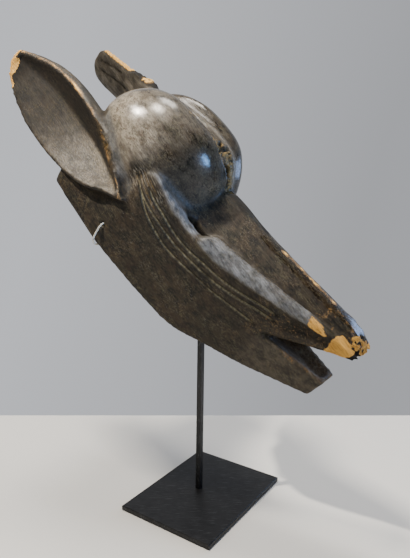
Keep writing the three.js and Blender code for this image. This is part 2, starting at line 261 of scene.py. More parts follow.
ears = {"lip": 3, "fold": 0.66, "bow": 0.12}
earDepth = curve([(-160, 7), (-125, 14), (-62, 22), (0, 28), (60, 26), (90, 14)])
earSwell = curve([(-160, 2), (-125, 7), (-62, 10), (30, 10), (70, 4), (90, 0)])
cupDepth = curve([(-160, 1), (-125, 8), (-62, 15), (0, 18), (50, 12), (78, 4), (90, 1)])
upperOut = curve([(-160, 58), (-130, 56), (-60, 57), (-13, 60), (22, 64), (60, 72), (90, 80)])
nearEar = {
    "side": -1, "spread": 0,
    "upperHeight": curve([(-160, 55), (-130, 70), (-95, 84), (-60, 90), (-13, 90.5), (22, 87.5), (60, 76.5),
                          (90, 67)]),
    "lowerHeight": curve([(-160, 37), (-143, 27), (-109, 19), (-70, 17), (-32, 19.5), (9, 27), (42, 38.5),
                          (66, 54), (90, 66)]),
    "lowerOut": curve([(-160, 60), (-143, 66), (-109, 72), (-70, 77), (-32, 80), (9, 82.5), (42, 83),
                       (66, 81), (90, 80)]),
}
farEar = {
    "side": 1, "spread": 4,
    "upperHeight": curve([(-160, 82), (-150, 92), (-141, 97), (-118, 106), (-92, 112), (-60, 114), (-30, 112),
                          (0, 107), (30, 100), (60, 90), (90, 77)]),
    "lowerHeight": curve([(-160, 60), (-152, 51), (-144, 48.5), (-129, 49), (-104, 52), (-70, 54), (-30, 55),
                          (10, 58), (50, 65), (90, 75)]),
    "lowerOut": curve([(-160, 60), (-144, 66), (-129, 69), (-104, 74), (-70, 78), (-30, 81), (9, 83),
                       (42, 83), (90, 80)]),
}


def earPoint(ear, x, t, deep):
    rise = (upperOut(x) - ear["lowerOut"](x), ear["upperHeight"](x) - ear["lowerHeight"](x))
    high = math.hypot(*rise)
    y = ear["spread"] + ear["lowerOut"](x) + rise[0] * t - deep * rise[1] / high
    z = ear["lowerHeight"](x) + rise[1] * t + deep * rise[0] / high
    return (x, ear["side"] * y, z)


def earHeight(ear, x):
    return math.hypot(upperOut(x) - ear["lowerOut"](x), ear["upperHeight"](x) - ear["lowerHeight"](x))


def earHull(ear, name):
    rings = []
    for x in [-160, -157, -154, -150, -145] + list(np.arange(-140, 90, 5.0)) + [90]:
        ring = []
        for angle in np.linspace(0, math.pi, 29):
            swollen = max(math.sin(2 * angle), 0) * earSwell(x) / earHeight(ear, x)
            ring.append(earPoint(ear, x, 0.5 + 0.5 * math.cos(angle) + swollen,
                                 earDepth(x) * max(math.sin(angle), 0) ** 0.75))
        rings.append(ring)
    return loft(name, rings)


def earCup(ear, name):
    rings = []
    for x in [-152, -148, -143] + list(np.arange(-138, 62, 5.0)) + [64, 68, 72, 78]:
        lip = ears["lip"] / earHeight(ear, x)
        stops = [(1 - lip, -1), (ears["fold"], cupDepth(x)), (lip, -1)]
        ring = []
        for start, end in zip(stops, stops[1:]):
            for t in np.linspace(0, 1, 10)[:-1]:
                ring.append((mix(start[0], end[0], t),
                             mix(start[1], end[1], t) + cupDepth(x) * ears["bow"] * math.sin(math.pi * t)))
        ring.append(stops[-1])
        rings.append([earPoint(ear, x, t, deep) for t, deep in ring])
    return loft(name, rings)


# The plane above which the far ear's upper edge split off
split = {"place": (-90, 61, 106), "slope": 14.6, "lean": 0.12, "long": 90, "wide": 40, "high": 60}


def splitBlock():
    turn = -math.radians(split["slope"])
    verts = []
    for x in (-split["long"], split["long"]):
        for y in (-split["wide"], split["wide"]):
            for z in (0, split["high"]):
                lift = z + y * split["lean"]
                verts.append((split["place"][0] + x * math.cos(turn) + lift * math.sin(turn),
                              split["place"][1] + y,
                              split["place"][2] - x * math.sin(turn) + lift * math.cos(turn)))
    faces = [(0, 1, 3, 2), (4, 6, 7, 5), (0, 4, 5, 1), (2, 3, 7, 6), (0, 2, 6, 4), (1, 5, 7, 3)]
    made = meshObject("lost edge", verts, faces)
    fixNormals(made)
    return made


hollow = {"end": 246, "closeFrom": 190, "roofRise": 3, "roofHalf": 10,
          "crownMiddle": (60, 0, 82), "crownSize": (66, 50, 58)}


def hollowRing(x):
    wall = mask["wall"]
    closing = (x - hollow["closeFrom"]) / (hollow["end"] + 6 - hollow["closeFrom"])
    open_ = math.sqrt(1 - closing ** 2) if x > hollow["closeFrom"] else 1
    low = rimHeight(x) - 30
    top = mix(rimHeight(x) + 4, baseHeight(x) - wall, open_)
    width = (rimWidth(x) - wall) * mix(0.6, 1, open_)
    shoulder = min(width, edgeWidth(x) - wall - 2)
    half = [(width, low), (width, mix(rimHeight(x), top, 0.4)), (shoulder, mix(rimHeight(x), top, 0.8)),
            (shoulder - 9, top), (hollow["roofHalf"], top + hollow["roofRise"] * open_)]
    return mirrored(x, half)


def makeCrown():
    (cx, cy, cz), (rx, ry, rz) = hollow["crownMiddle"], hollow["crownSize"]
    rings = []
    for lift in np.linspace(-math.pi / 2, math.pi / 2, 29):
        rings.append([(cx + rx * math.cos(lift) * math.cos(turn), cy + ry * math.cos(lift) * math.sin(turn),
                       cz + rz * math.sin(lift)) for turn in np.linspace(0, 2 * math.pi, 48, endpoint=False)])
    return loft("crown", rings)


mouth = {"corner": (278, 80), "roof": 0.79, "middle": 0.45, "floor": 0.2, "gape": 3, "lipWide": 6, "run": 90,
         "through": 80, "scoop": 0.22}


def prism(name, outline, low, high, axis):  # outline pushed through along y (axis 1) or z (axis 2)
    def place(p, depth):
        return (p[0], depth, p[1]) if axis == 1 else (p[0], p[1], depth)
    count = len(outline)
    verts = [place(p, low) for p in outline] + [place(p, high) for p in outline]
    faces = [tuple(range(count)), tuple(range(2 * count - 1, count - 1, -1))]
    faces += [(i, (i + 1) % count, (i + 1) % count + count, i + count) for i in range(count)]
    made = meshObject(name, verts, faces)
    fixNormals(made)
    return made


def makeMouth():
    x, z = mouth["corner"]
    low, high, run = z - mouth["gape"] / 2, z + mouth["gape"] / 2, mouth["run"]
    outline = [(x, low), (x + run, low + run * mouth["floor"]),
               (x + run, high + run * mouth["roof"]), (x, high)]
    return prism("mouth", outline, -mouth["through"], mouth["through"], 1)


def jawScoop():
    rings = []
    for x in np.linspace(mouth["corner"][0] + 4, mask["jawEnd"] - 6, 24):
        top = mouth["corner"][1] + (x - mouth["corner"][0]) * mouth["floor"]
        t = (top - rimHeight(x)) / (edgeHeight(x) - rimHeight(x))
        half = sidePoint(x, t)[0] - mouth["lipWide"]
        deep = (top - rimHeight(x)) * mouth["scoop"]
        side = [(half, top + 4), (half, top - 0.5), (half * 0.7, top - deep * 0.7), (half * 0.25, top - deep)]
        rings.append([(x, y, z) for y, z in side] + [(x, -y, z) for y, z in reversed(side)])
    return loft("jaw scoop", rings)


eye = {"outline": [(138, 47), (148, 35.5), (177, 35), (175, 43)], "from": 70, "to": 120}
hole = {"place": (85, 24), "across": 6, "through": 30}


def stringHole():
    x, z = hole["place"]
    outline = [(x + hole["across"] / 2 * math.cos(a), z + hole["across"] / 2 * math.sin(a))
               for a in np.linspace(0, 2 * math.pi, 24, endpoint=False)]
    y = -rimWidth(x)
    return prism("string hole", outline, y - hole["through"], y + hole["through"], 1)


surfaces = {}  # each cut's surface, to tell later which faces it left


def makeMask():
    body, head = makeFace(), makeDome()
    surfaces["dome"] = BVHTree.FromObject(head, bpy.context.evaluated_depsgraph_get())
    cutOrJoin(body, head, "UNION")
    cutOrJoin(body, earHull(nearEar, "near ear"), "UNION")
    far = earHull(farEar, "far ear")
    cutOrJoin(far, splitBlock(), "DIFFERENCE")
    cutOrJoin(body, far, "UNION")
    cuts = [earCup(nearEar, "near cup"), earCup(farEar, "far cup")]
    places = [5, 17, 30, 45, 60, 75, 90, 105, 120, 130, 140, 150, 160, 170, 180, 190, 200, 208, 215, 223, 230,
              236, 241, 246]
    cuts += [loft("hollow", [hollowRing(x) for x in places]), makeCrown(), makeMouth(), jawScoop()]
    for side in (-1, 1):
        cuts += [prism("eye", [(x, side * y) for x, y in eye["outline"]], eye["from"], eye["to"], 2)]
    cuts += [stringHole()]
    for cut in cuts:
        surfaces[cut.name] = BVHTree.FromObject(cut, bpy.context.evaluated_depsgraph_get())
        cutOrJoin(body, cut, "DIFFERENCE")
    return body


maskBody = makeMask()
print("mask carved:", len(maskBody.data.polygons), "faces")

# The carved body becomes an even skin of small faces, which the tool marks and losses then move
skin = {"hollowShare": 0.12, "smoothing": 2, "fineEdge": 1.1}


def evenSkin(body):
    modifier = body.modifiers.new("even", "REMESH")
    modifier.mode = "VOXEL"
    modifier.voxel_size = mask["voxel"]
    applied(body)
    bm = bmesh.new()
    bm.from_mesh(body.data)
    bmesh.ops.triangulate(bm, faces=bm.faces)
    bm.to_mesh(body.data)
    bm.free()


def meshValues(made, part, value, width, kind=float):  # a row of numbers for each vertex, edge or corner
    items = getattr(made.data, part)
    values = np.empty(len(items) * width, kind)
    items.foreach_get(value, values)
    return values.reshape(-1, width)


def pointsOf(made):
    return meshValues(made, "vertices", "co", 3)


def edgesOf(made):
    return meshValues(made, "edges", "vertices", 2, np.int32)


def setPoints(made, points):
    made.data.vertices.foreach_set("co", points.ravel())
    made.data.update()


def relaxed(points, edges, rounds, strength=0.5):
    a, b = edges[:, 0], edges[:, 1]
    count = len(points)
    share = np.bincount(a, minlength=count) + np.bincount(b, minlength=count)
    for _ in range(rounds):
        mean = np.empty_like(points)
        for axis in range(points.shape[1]):
            total = np.bincount(a, points[b, axis], count) + np.bincount(b, points[a, axis], count)
            mean[:, axis] = total / share
        points = points + (mean - points) * strength
    return points


def near(name, points, reach):  # 1 on the surface that a cut left, 0 further off than reach
    tree = surfaces[name]
    return np.array([1.0 if tree.find_nearest(Vector(p), reach)[0] is not None else 0.0 for p in points])


evenSkin(maskBody)
inHollow = np.maximum(near("hollow", pointsOf(maskBody), 2.2), near("crown", pointsOf(maskBody), 2.2))
group = maskBody.vertex_groups.new(name="hollow")
group.add([int(i) for i in np.nonzero(inHollow)[0]], 1.0, "REPLACE")
corners = meshValues(maskBody, "loops", "vertex_index", 1, np.int32).reshape(-1, 3)
hollowFaces = (inHollow[corners].min(1) > 0).mean()
modifier = maskBody.modifiers.new("thin", "DECIMATE")
modifier.ratio = 1 - hollowFaces * (1 - skin["hollowShare"])  # counts all faces, but only the group's go
modifier.vertex_group = "hollow"
modifier.vertex_group_factor = 6
applied(maskBody)
maskBody.vertex_groups.clear()
print("skin:", len(maskBody.data.polygons), "faces")

# Lines cut along the cheek below its edge, as (x, z)
cheekLines = [
    [(98, 96), (112, 91), (127, 88), (151, 82.5), (171, 82), (190, 85), (210, 87.5), (234, 93.5), (254, 101),
     (277, 109)],
    [(80, 95), (90, 89), (102, 84), (116, 80.5), (130, 78.5), (155, 75), (183, 76.5), (211, 80.5), (238, 88),
     (259, 96), (279, 102)],
    [(92, 88), (102, 82), (113, 76), (124, 72), (152, 65), (178, 66.5), (197, 69), (214, 71), (242, 77),
     (268, 82.5)],
]
frayedLines = [  # finer cuts that fan out where the cheek lines begin
    [(74, 99), (84, 95.5), (98, 91), (112, 86.5), (124, 83)],
    [(78, 103), (90, 99), (102, 96), (113, 93)],
    [(70, 95), (82, 91.5), (94, 86)],
    [(88, 103), (100, 100), (116, 95)],
]
line = {"half": 1.4, "deep": 1.9, "lip": 0.55, "frayed": 0.8, "frayedHalf": 1.2}


def lineGap(points, lines):  # distance to the nearest line, along the cheek's own side
    x, y, z = points.T
    side = np.abs(y) > mix(rimWidth(x), edgeWidth(x), 0.6) - 9
    gap = np.full(len(points), 99.0)
    for stops in lines:
        height = curve(stops)
        slope = (height(x + 1) - height(x - 1)) / 2
        away = np.abs(z - height(x)) / np.hypot(1, slope)
        past = np.maximum(stops[0][0] - x, x - stops[-1][0])
        gap = np.minimum(gap, np.where(side & (past < 0), away + 0.14 * np.maximum(past + 8, 0), 99))
    return gap


# The joint between the two halves of the forehead is eaten away in a band on its near side
bandMiddle = curve([(58, -27), (80, -17), (100, -11), (115, -7.5), (130, -3), (143, 0)])
bandHalf = curve([(58, 0.5), (78, 2.8), (100, 6.2), (110, 7), (122, 5), (143, 3)])


def seamGap(points):  # distance outside that band, below 0 inside it
    x, y, z = points.T
    onBand = (x > 56) & (x < 143) & (z > 100) & (z > seamHeight(x) - 14)
    return np.where(onBand, np.abs(y - bandMiddle(x)) - bandHalf(x), 99)


def thinSeam(points):  # distance to the fine open joint further back
    x, y, z = points.T
    return np.where((x > -18) & (x < 143) & (z > seamHeight(x) - 9), np.abs(y - 1.5), 99)


def splitGap(points):  # distance above the plane along which the far ear split
    turn = -math.radians(split["slope"])
    normal = np.array([math.sin(turn), -split["lean"], math.cos(turn)])
    return (points - np.array(split["place"])) @ normal / np.linalg.norm(normal)


def finer(made, chosen, longest):  # cuts the edges between chosen points in half where they are long
    bm = bmesh.new()
    bm.from_mesh(made.data)
    bm.verts.ensure_lookup_table()
    edges = [e for e in bm.edges if chosen[e.verts[0].index] and chosen[e.verts[1].index]
             and e.calc_length() > longest]
    bmesh.ops.subdivide_edges(bm, edges=edges, cuts=1)
    bmesh.ops.triangulate(bm, faces=bm.faces)
    bm.to_mesh(made.data)
    bm.free()


points = pointsOf(maskBody)
cutNear = (lineGap(points, cheekLines + frayedLines) < 3) | (seamGap(points) < 3) | (thinSeam(points) < 2.5)
finer(maskBody, cutNear, skin["fineEdge"])
points = relaxed(pointsOf(maskBody), edgesOf(maskBody), skin["smoothing"])
setPoints(maskBody, points)
print("after cutting finer:", len(maskBody.data.polygons), "faces")

# Where each mark runs along the mask: the x where it begins, is full, fades and ends
stretch = {
    "dome": (-24, -18, 143, 147), "ridge": (166, 176, 290, 318), "ridgeGroove": (176, 195, 285, 318),
    "ledge": (84, 92, 160, 172), "joint": (-18, 0, 108, 120), "noseChips": (216, 228, 292, 304),
    "lipSpecks": (286, 300, 330, 338), "domeFoot": (84, 100, 128, 150), "frayed": (66, 78, 112, 130),
    "behindEar": (-12, 0, 56, 74), "seamFilm": (30, 60, 130, 140),
}
# Depth or height of each mark in millimetres
carving = {
    "wave": 0.55, "gouge": 0.35, "grain": 0.12, "ridge": 3, "ridgeGroove": 1.3,
    "seamPit": 3, "seamFloor": 0.6, "seamGrit": 0.8, "joint": 0.6, "crack": 1.8,
    "knob": 3.2, "bump": 2.6, "splitRough": 0.7, "earGroove": 0.9,
    "bareRough": 0.5, "crumb": 1.9, "nick": 0.9, "patch": 1.6,
}

# Where things are on the skin
normals = meshValues(maskBody, "vertices", "normal", 3)
edges = edgesOf(maskBody)
facing = normals[:, 2]
x, y, z = points.T
bulge = ((points - relaxed(points, edges, 14)) * normals).sum(1)  # above 0 on an edge, below 0 in a crease
bulge = relaxed(bulge[:, None], edges, 2)[:, 0]
lineAway = lineGap(points, cheekLines)
frayedAway = lineGap(points, frayedLines)
seamAway = seamGap(points)
inCup = np.maximum(near("near cup", points, 0.9), near("far cup", points, 0.9))
inNearCup = inCup * (y < 0)
inHollow = np.maximum(near("hollow", points, 1.2), near("crown", points, 1.2))
inMouth = np.maximum(near("mouth", points, 0.9), near("jaw scoop", points, 0.9))
onDome = ease(z, 98, 108) * within(x, *stretch["dome"]) * (np.abs(y) < 72) * (1 - inHollow)
onFarEar = (y > 30) & (x < 20) & (z < 125) & (onDome < 0.5)
overRim = z - nearEar["upperHeight"](x)
upperJaw = z > mouth["corner"][1] + (x - mouth["corner"][0]) * mouth["roof"] - 1
overMouth = z - (mouth["corner"][1] + (x - mouth["corner"][0]) * mouth["middle"])
rough = bumps(points, 9, 3)
fine = bumps(points, 2.6, 4)
grain = bumps(points, (26, 2.4, 2.4), 5)

# Waves and hollows of the blade, and the grain standing up between them
shift = carving["wave"] * bumps(points, (46, 26, 26), 1)
shift += carving["gouge"] * (chips(points, (17, 9, 9), 2) - 0.5) * (1 - onDome * 0.7)
shift += carving["grain"] * grain * (1 - 0.85 * onDome)
shift *= 1 - 0.5 * inCup

# The ridge along the top of the cheek swells up from a blunt start below the eye, and a ledge leads to it
across = (np.abs(y) - baseWidth(x)) / np.maximum(edgeWidth(x) - baseWidth(x), 4)
inward = np.clip(across, 0, 1)
cheekTop = mix(baseHeight(x), edgeHeight(x), inward) + swell(x) * np.sin(math.pi * inward)
offTop = np.abs(z - cheekTop)
onCheekTop = (across > -0.05) & (across < 1.12) & (offTop < 4) & (x > 95)
ridgeRun = within(x, *stretch["ridge"])
swelling = np.sin(math.pi * np.clip((across - 0.22) / 0.95, 0, 1)) ** 0.7
shift += onCheekTop * ridgeRun * carving["ridge"] * swelling
shift -= onCheekTop * within(x, *stretch["ridgeGroove"]) * carving["ridgeGroove"] * hump(across, 0.1, 0.12)
overEdge = inward + np.clip(edgeHeight(x) - z, 0, 30) / 16 * (across > 0.8)
ledgeStart = curve([(84, 0.98), (104, 0.9), (127, 0.7), (142, 0.48), (170, 0.28)])(x)
ledgeEnd = curve([(84, 1.03), (100, 1.13), (120, 1.3), (170, 1.34)])(x) - 0.14 * rough
ledge = (within(overEdge, ledgeStart - 0.05, ledgeStart + 0.05, ledgeEnd - 0.08, ledgeEnd + 0.12)
         * within(x, *stretch["ledge"]) * (1 - near("dome", points, 0.9)) * (offTop < 9))
ridge = ease(overEdge, 0.27, 0.38) * (1 - ease(overEdge + 0.1 * rough, 1.14, 1.34)) * ridgeRun * (offTop < 8)

# The cheek lines, and the cuts that fray out behind them
cut = np.clip(1 - lineAway / line["half"], 0, 1)
lip = np.clip(1 - np.abs(lineAway - line["half"] * 1.6) / line["half"], 0, 1)
steady = 0.75 + 0.25 * bumps(points, 14, 6)
shift += (lip * line["lip"] - cut * line["deep"]) * steady
shift -= line["frayed"] * np.clip(1 - frayedAway / line["frayedHalf"], 0, 1) * steady

# The eaten seam of the forehead, its fine joint further back and the crack beside it
eaten = ease(bumps(points, (5, 3.4, 3.4), 7) + 0.5 * bumps(points, 2.2, 8), 0.0, 0.4)
seam = 1 - ease(seamAway + 1.8 * rough + 0.9 * fine, -0.8, 0.8)
joint = (1 - ease(thinSeam(points) + 0.5 * rough, 0.2, 1.3)) * within(x, *stretch["joint"])
crackAway = np.abs(y - bandMiddle(x) + 0.55 * bandHalf(x) + 1.2 * rough)
crack = (1 - ease(crackAway, 0.4, 1.2)) * (seamAway < 0.5) * ease(x, 96, 104)
shift += carving["seamGrit"] * seam * bumps(points, 1.9, 13)
shift -= carving["seamPit"] * seam * eaten + carving["seamFloor"] * seam
shift -= carving["joint"] * joint + carving["crack"] * crack

# The far ear: its split edge, with a knob and a bump on it, and two shallow grooves along its back
onSplit = (np.abs(splitGap(points)) < 1.6) & onFarEar & (x > -162) & (x < 20)
splitBare = onSplit * (1 - ease(x + 3 * rough, -97, -90))
knob = hump(x, -66, 7) * onSplit
bump = hump(x, -82, 5) * onSplit
shift += carving["knob"] * knob * (0.6 + 0.4 * fine) + carving["bump"] * bump * (0.7 + 0.5 * rough)
shift += carving["splitRough"] * onSplit * (grain + 0.6 * rough)
farGroove = np.zeros(len(points))
for place, end in ((0.42, -88), (0.66, -104)):
    height = mix(farEar["lowerHeight"](x), farEar["upperHeight"](x), place + 0.0012 * (x + 150)) - 3
    groove = (1 - ease(np.abs(z - height), 0.4, 1.8)) * onFarEar * (1 - inCup) * (x < end) * (x > -148)
    farGroove = np.maximum(farGroove, groove)
shift -= carving["earGroove"] * farGroove

# Broken places, where the pale wood shows: the snout's end and lip, the ridge's end, the near ear's tip
endStart = 337 + 0.35 * np.clip(y, -18, 12) + 2.5 * rough + 5 * (z < noseHeight(x) - 4)
endFace = ease(x, endStart - 2, endStart + 2) * upperJaw
nearLip = (y < -16) * upperJaw * ease(x + 0.1 * (z - 130) + 2.5 * rough + 1.5 * fine, 321, 326)
ridgeLine = edgeHeight(x) + 1 - 0.22 * (x - 296)
endAway = ((x - 306 - 3 * rough) / 12) ** 2 + ((z - ridgeLine - rough) / 4.6) ** 2
ridgeEnd = ease(-y, 26 + 1.2 * rough, 28 + 1.2 * rough) * np.exp(-endAway ** 1.4)
ridgeEnd = np.clip(ridgeEnd + 0.3 * bumps(points, (7, 2.2, 2.2), 17) * (ridgeEnd > 0.1), 0, 1)
tipEnd = (y < 0) * (1 - ease(x, -158 + 2 * rough + fine, -153.5 + 2 * rough + fine))
rimLine = nearEar["lowerHeight"](x) + 4.5 + 13 * hump(x, -149, 7) + 2.5 * rough + 1.8 * fine
lowerRim = (y < 0) * (z < rimLine) * (1 - ease(x, -131 + 5 * rough, -124 + 5 * rough)) * (x > -161)
bare = np.max([splitBare, endFace, nearLip, ridgeEnd, tipEnd, lowerRim], axis=0)
blackTip = (y < -14) * upperJaw * ease(x + 0.4 * (137 - z) + rough, 342, 345)
crumbs = bumps(points, 3.0, 9) + 0.4 * bumps(points, 1.7, 16)
crumbly = endFace * (y > -18)
bare = bare * (1 - inHollow) * (1 - 0.8 * crumbly * ease(crumbs, 0.02, 0.25)) * (1 - blackTip)
shift += carving["bareRough"] * bare * (fine + 0.5 * grain)
shift -= carving["crumb"] * crumbly * ease(crumbs, -0.1, 0.6)

# Worn edges that hands and handling reach, with nicks, chips and specks
rimOfEar = (np.abs(overRim) < 4) & (y < -50) & (x < 92)
noseEdges = (z > noseHeight(x) - 5) * (np.abs(y) < 15) * (x > 215)
convex = ease(bulge, 0.18, 0.7)
nicks = ease(bumps(points, (9, 4, 4), 10), 0.05, 0.5)
shift -= carving["nick"] * convex * nicks * np.maximum(rimOfEar, noseEdges * ease(x, 225, 260))
rimWorn = ease(bulge, 0.5, 1.1) * rimOfEar * (0.5 + 0.3 * nicks + 0.55 * hump(x, -62, 30))
noseChips = (z > noseHeight(x) - 6) * within(y + rough, -5, -1, 3, 7) * within(x, *stretch["noseChips"])
noseChips = noseChips * (0.5 + 0.6 * ease(bumps(points, (8, 4, 4), 12) + 0.7 * fine, -0.2, 0.35))
jawSpecks = upperJaw * (z < edgeHeight(x) - 6) * ease(x, 235, 275) * (np.abs(y) > 16) * (1 - inMouth)
speckled = 0.2 + 0.3 * ease(bumps(points, 3, 15) + 0.5 * rough, -0.1, 0.4)
lipSpecks = (z > baseHeight(x) - 3) * (y < -3) * (y > -24) * within(x, *stretch["lipSpecks"]) * speckled
patch = (y < -50) * hump(x, 26, 24) * ease(overRim, -20, -11) * inCup
worn = np.max([
    convex * nicks * ease(x, 200, 330) * 0.45, rimWorn, noseChips, lipSpecks,
    jawSpecks * (0.29 + 0.16 * fine),
    1.5 * knob * (fine > -0.15),
    patch * ease(rough + fine * 0.6, -0.4, 0.3) * 0.7,
], axis=0)
worn = worn * (1 - np.maximum(tipEnd, lowerRim))
snoutWorn = np.maximum(nearLip, endFace) * (0.8 + 0.3 * rough) * (1 - crumbly * ease(crumbs, 0.0, 0.3))
worn = np.maximum(worn, snoutWorn * (1 - blackTip))
shift -= carving["patch"] * patch * ease(fine, -0.2, 0.6)
shift *= 1 - inHollow * 0.4

# What lies on the skin: dust in cuts and seams, soot where no hand reaches, painted shade in creases,
# in the ear's cup, under the upper jaw and beside the cheek lines, a pale film partly painted as light and
# sheen, and rubbed gloss
crease = ease(-bulge, 0.15, 0.7) * (1 - inCup)
domeFoot = (y < 0) * within(x, *stretch["domeFoot"]) * ease(-bulge, 0.0, 0.35) * (z > 96)
scored = (1 - ease(lineAway, 0.4, 1.15)) * ease(steady + 0.25 * fine, 0.4, 0.85)
frayed = (np.abs(y) > 55) * within(x, *stretch["frayed"]) * within(z, 78, 86, 100, 108)
frayedDust = (1 - ease(frayedAway, 0.3, 1.0)) * (0.45 + 0.3 * rough)
jawTop = inMouth * (1 - ease(overMouth, -4, 0))
dust = np.max([frayedDust, seam * (0.9 + 0.5 * fine), joint * 0.6, knob * (fine > 0.1), crease * 0.1,
               patch * (0.5 + 0.6 * fine), jawTop * 0.2], axis=0)
behindEar = (y < -44) * (y > -72) * within(x, *stretch["behindEar"]) * ease(overRim + rough, 9, 14)
earBack = (overRim > 1) * (1 - ease(overRim + rough, 9, 14)) * (y < -52) * ease(x, -70, -30) * (x < 88)
earBack = earBack * (1 - inCup)
lipShade = (across > 0.8) * ease(x, 278, 296) * upperJaw * ease(edgeHeight(x) - z, 2, 8) * (1 - nearLip)
# Painted shade in the near ear's cup: on walls that turn away from the front of the face, and towards its tip
cupShade = np.maximum(1 - ease(facing, -0.15, 0.4), 1 - ease(x + 4 * rough, -142, -95)) * (1 - patch)
sootAndShade = np.max([
    seam * ease(eaten, 0.4, 0.85), crack, farGroove, blackTip, bump,
    inMouth * ease(overMouth, -1, 3),  # the roof of the mouth, darkened as painted shade under the upper jaw
    # painted shade in creases, weaker in the mouth, behind the ear and where the dome's foot has its painted
    # sheen
    crease * 0.8 * (1 - jawTop) * (1 - 0.8 * behindEar) * (1 - 0.85 * domeFoot),
    lipShade * 0.6,
    crumbly * ease(crumbs, 0.0, 0.25) * 0.75,
    # the near cup darker towards its tip, and painted shade on its walls that turn from the front of the face
    inNearCup * (1 - ease(x, -75, 15)) * 0.5,
    inNearCup * cupShade * 0.72,
    patch * ease(-fine, 0.1, 0.4) * 0.8,
    onSplit * (x > -100) * 0.6,
    # painted shadow along both flanks of each cheek line
    within(lineAway, 0.6, 1.1, 1.8, 2.8) * 0.9,
], axis=0)
# The dome's film thins towards the front and is paler on its lower near side, partly as painted light
domeBack = 1 - ease(x + 0.32 * (155 - z) - 0.6 * np.clip(36 + y, 0, 36) + 6 * rough, 64, 110)
domeFilm = 0.44 + 1.25 * (1 - ease(z, 124, 150)) * ease(-y, 30, 50) - 0.3 * ease(y, -2, 9)
ledgeStreaks = ease(overEdge, 0.9, 1.1) * ease(bumps(points, (10, 2.2, 2.2), 14), 0, 0.3)
filmAndPaintedLight = np.max([
    onDome * domeBack * domeFilm,
    onDome * 0.16,
    1.5 * onDome * hump(y, 3, 7) * within(x, *stretch["seamFilm"]) * (1 - seam),
    # painted light on the near cup's faces that turn towards the front of the face, stronger towards the
    # ear's base
    inNearCup * ease(facing, 0.05, 0.5) * mix(0.1, 0.58, ease(x, -75, 30)),
    onFarEar * (1 - inCup) * (1 - onSplit) * mix(0.3, 1.2, ease(grain + 0.5 * rough, -0.35, 0.4)),
    behindEar * 0.9,
    # a painted blue-grey sheen on the back of the near ear above its rim
    earBack * 0.42,
    # a painted blue-grey reflection in the crease at the dome's foot
    domeFoot * 0.36,
    # the cheek's ridge: a paler patina with a painted sheen
    ridge * (0.72 + 0.25 * rough),
    # the ledge under the dome: a painted blue-grey reflection, with pale streaks
    ledge * (0.8 + 0.35 * rough),
    ledge * ledgeStreaks * 1.5,
    onCheekTop * (across < 0.25) * (x > 170) * 0.3,
    # painted light on the top of the lower jaw inside the mouth
    jawTop * mix(0.5, 1.1, ease(x, 290, 315)),
    0.22 * (1 - inMouth) * (1 - upperJaw) * ease(x, 262, 290),  # the outside of the lower jaw
], axis=0) * (1 - inHollow)
# Where the film is laid as a grey sheen that stands for reflected light
greySheen = np.max([ridge * mix(0.75, 1, ease(overEdge, 0.4, 0.8)), ledge, earBack, domeFoot], axis=0)
streaked = np.max([0.3 * ridge, 0.5 * ledge, inCup, 0.3 * onDome, jawTop], axis=0)
polish = np.max([onDome * mix(1, ease(z, 112, 136), ease(x, 50, 75)), onCheekTop * ridgeRun * 0.7,
                 0.9 * (z > noseHeight(x) - 3) * (np.abs(y) < 12) * (x > 200),
                 0.25 * (y < -50) * (x < 60) * (x > -60) * (1 - inCup) * (z > 60)], axis=0)


def placed(points):  # from the mask's own frame in millimetres to the scene's in metres
    turn = math.radians(mask["tilt"])
    x, y, z = points.T
    return mm * np.stack([x * math.cos(turn) + z * math.sin(turn) + mask["place"][0], y + mask["place"][1],
                          -x * math.sin(turn) + z * math.cos(turn) + mask["place"][2]], axis=1)


def smoothShaded(made):
    for polygon in made.data.polygons:
        polygon.use_smooth = True


setPoints(maskBody, placed(points + normals * shift[:, None]))
marks = {"bare": bare, "worn": worn, "dust": dust, "filmAndPaintedLight": filmAndPaintedLight, "polish": polish, "hollow": inHollow,
         "sootAndShade": sootAndShade, "greySheen": greySheen, "frayed": frayed, "scored": scored, "streaked": streaked}
for label, values in marks.items():
    values = relaxed(np.asarray(values, float)[:, None], edges, 1)[:, 0]
    attribute = maskBody.data.attributes.new(label, "FLOAT", "POINT")
    attribute.data.foreach_set("value", values.astype(np.float32))
smoothShaded(maskBody)
maskBody.name = "hyena_mask"
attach(maskBody, "root")
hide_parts("mask")
print("mask finished:", len(maskBody.data.polygons), "triangles")

# Cotton string tied through a hole in the rim: three plies twisted round one another
string = {"plies": 3, "plyRadius": 0.56, "plyOffset": 0.52, "pitch": 6.5, "around": 8, "step": 0.6}
stringStops = [(85, -65.5, 24.5), (85.3, -73, 23.5), (87, -75, 14), (89.5, -75, 4), (91, -68, -3),
               (91, -59, -2.5), (90, -57, 4), (87.5, -57, 15), (85.3, -59, 23.5)]


def smoothLoop(stops, perSpan):  # closed line through the stops
    stops = np.array(stops, float)
    count = len(stops)
    made = []
    for i in range(count):
        a, b, c, d = (stops[(i + k) % count] for k in (-1, 0, 1, 2))
        for t in np.linspace(0, 1, perSpan, endpoint=False):
            made.append(0.5 * (2 * b + (c - a) * t + (2 * a - 5 * b + 4 * c - d) * t ** 2
                               + (3 * b - a - 3 * c + d) * t ** 3))
    return np.array(made)


